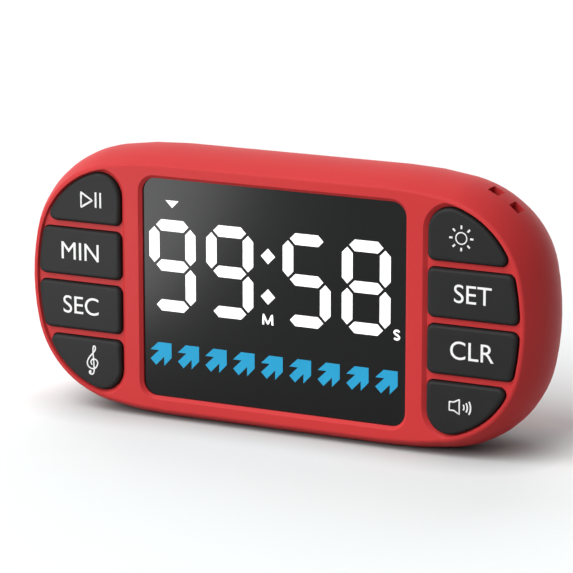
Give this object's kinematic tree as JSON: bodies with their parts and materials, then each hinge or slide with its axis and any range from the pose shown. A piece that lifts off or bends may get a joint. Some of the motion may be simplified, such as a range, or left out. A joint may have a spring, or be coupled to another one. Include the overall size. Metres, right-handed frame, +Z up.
{
  "type": "digital kitchen timer",
  "caption": "Rounded upright kitchen timer with a dark digit display between two columns of keys, cord holes and a sliding battery door.",
  "frame": {"origin": "middle of the flat underside's level, centred under the timer across its width and its depth", "axes": "+X to the right as seen from the display, +Y from the display to the back, +Z up"},
  "size_m": [0.1218, 0.0254, 0.0591],
  "materials": {
    "housing_red": "satin moulded plastic",
    "panel_black": "dark smoked acrylic",
    "lit_white": "lit diffuser",
    "lit_blue": "lit diffuser",
    "reflector_white": "moulded",
    "board_green": "solder mask",
    "part_black": "moulded",
    "bare_metal": "nickel plated",
    "speaker_film": "thin film",
    "wire_sleeve": "sleeved wire",
    "cell_jacket": "printed jacket, bare",
    "key_black": "matte"
  },
  "bodies": {
    "housing": {"front_housing": "housing_red", "rear_cover": "housing_red", "display_panel": "panel_black", "digit_segments": "lit_white", "arrow_segments": "lit_blue", "display_reflector": "reflector_white", "main_board": "board_green", "controller_chip": "part_black", "capacitors": "bare_metal", "crystal": "bare_metal", "switch_cases": "part_black", "speaker_frame": "part_black", "speaker_cone": "speaker_film", "speaker_magnet": "bare_metal", "speaker_leads": "wire_sleeve", "battery_cells": "cell_jacket", "battery_springs": "bare_metal", "contact_plates": "bare_metal", "battery_leads": "wire_sleeve", "holding_magnets": "bare_metal", "housing_screws": "bare_metal", "board_screws": "bare_metal"},
    "battery_door": {"battery_door": "housing_red"},
    "key_start": {"key_start": "key_black", "plunger_start": "part_black"},
    "key_minutes": {"key_minutes": "key_black", "plunger_minutes": "part_black"},
    "key_seconds": {"key_seconds": "key_black", "plunger_seconds": "part_black"},
    "key_melody": {"key_melody": "key_black", "plunger_melody": "part_black"},
    "key_light": {"key_light": "key_black", "plunger_light": "part_black"},
    "key_program": {"key_program": "key_black", "plunger_program": "part_black"},
    "key_reset": {"key_reset": "key_black", "plunger_reset": "part_black"},
    "key_volume": {"key_volume": "key_black", "plunger_volume": "part_black"}
  },
  "joints": [
    {"name": "battery_door_slide", "type": "slide", "parent": "housing", "child": "battery_door", "axis": [0, 0, 1], "range_m": [0, 0.042]},
    {"name": "key_start_press", "type": "slide", "parent": "housing", "child": "key_start", "axis": [0, 1, 0], "range_m": [0, 0.0005], "stiffness_N_per_m": 2000, "springref_m": -0.0003},
    {"name": "key_minutes_press", "type": "slide", "parent": "housing", "child": "key_minutes", "axis": [0, 1, 0], "range_m": [0, 0.0005], "stiffness_N_per_m": 2000, "springref_m": -0.0003},
    {"name": "key_seconds_press", "type": "slide", "parent": "housing", "child": "key_seconds", "axis": [0, 1, 0], "range_m": [0, 0.0005], "stiffness_N_per_m": 2000, "springref_m": -0.0003},
    {"name": "key_melody_press", "type": "slide", "parent": "housing", "child": "key_melody", "axis": [0, 1, 0], "range_m": [0, 0.0005], "stiffness_N_per_m": 2000, "springref_m": -0.0003},
    {"name": "key_light_press", "type": "slide", "parent": "housing", "child": "key_light", "axis": [0, 1, 0], "range_m": [0, 0.0005], "stiffness_N_per_m": 2000, "springref_m": -0.0003},
    {"name": "key_program_press", "type": "slide", "parent": "housing", "child": "key_program", "axis": [0, 1, 0], "range_m": [0, 0.0005], "stiffness_N_per_m": 2000, "springref_m": -0.0003},
    {"name": "key_reset_press", "type": "slide", "parent": "housing", "child": "key_reset", "axis": [0, 1, 0], "range_m": [0, 0.0005], "stiffness_N_per_m": 2000, "springref_m": -0.0003},
    {"name": "key_volume_press", "type": "slide", "parent": "housing", "child": "key_volume", "axis": [0, 1, 0], "range_m": [0, 0.0005], "stiffness_N_per_m": 2000, "springref_m": -0.0003}
  ]
}
